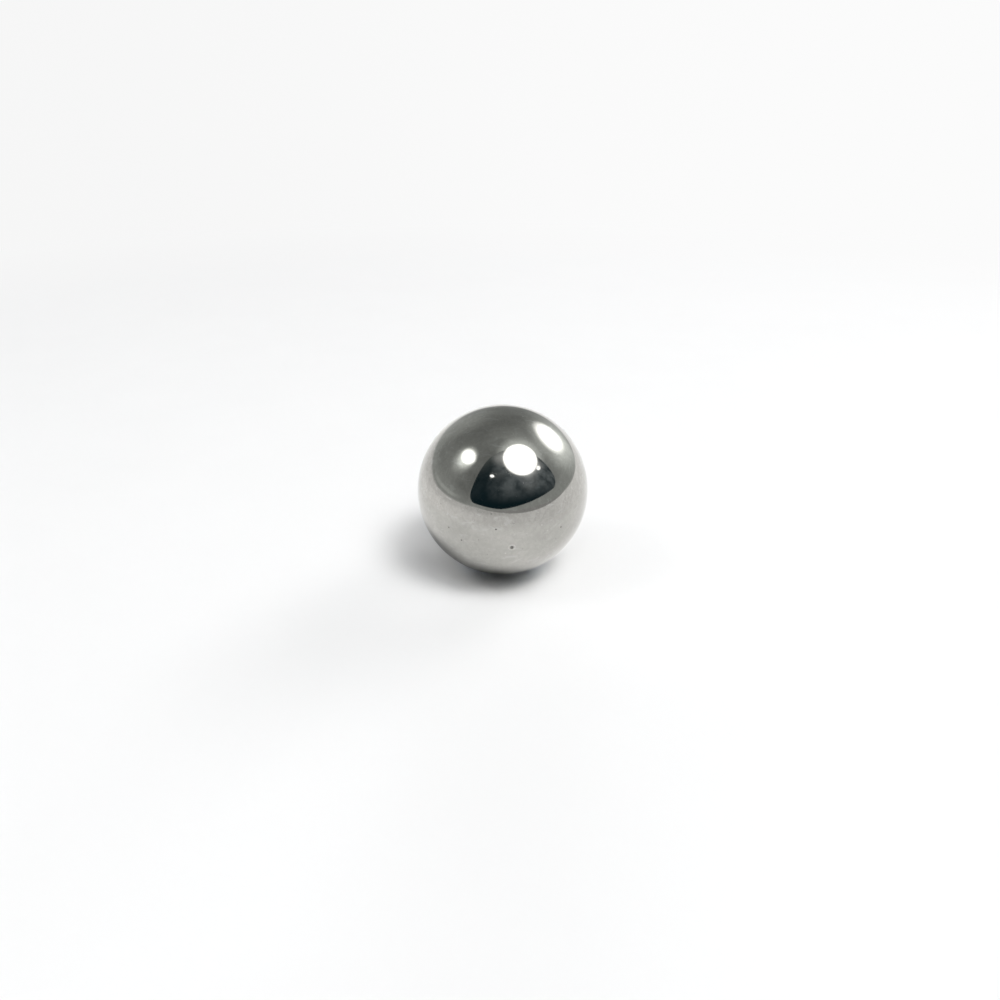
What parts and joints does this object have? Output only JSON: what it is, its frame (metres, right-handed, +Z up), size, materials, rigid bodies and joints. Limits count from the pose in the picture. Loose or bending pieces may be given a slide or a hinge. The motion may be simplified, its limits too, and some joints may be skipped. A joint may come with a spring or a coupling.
{
  "type": "steel ball",
  "caption": "Solid polished steel ball with a mirror finish, one small dent and a few pits, for rolling, seating or gauging.",
  "frame": {"origin": "centre of the ball", "axes": "+Z up through the top of the ball, +X to the right and +Y to the back, seen from the side that carries the dent"},
  "size_m": [0.02, 0.02, 0.02],
  "materials": {
    "polished_steel": "mirror polished, with light scratches and small pits"
  },
  "bodies": {
    "root": {"ball": "polished_steel"}
  },
  "joints": []
}
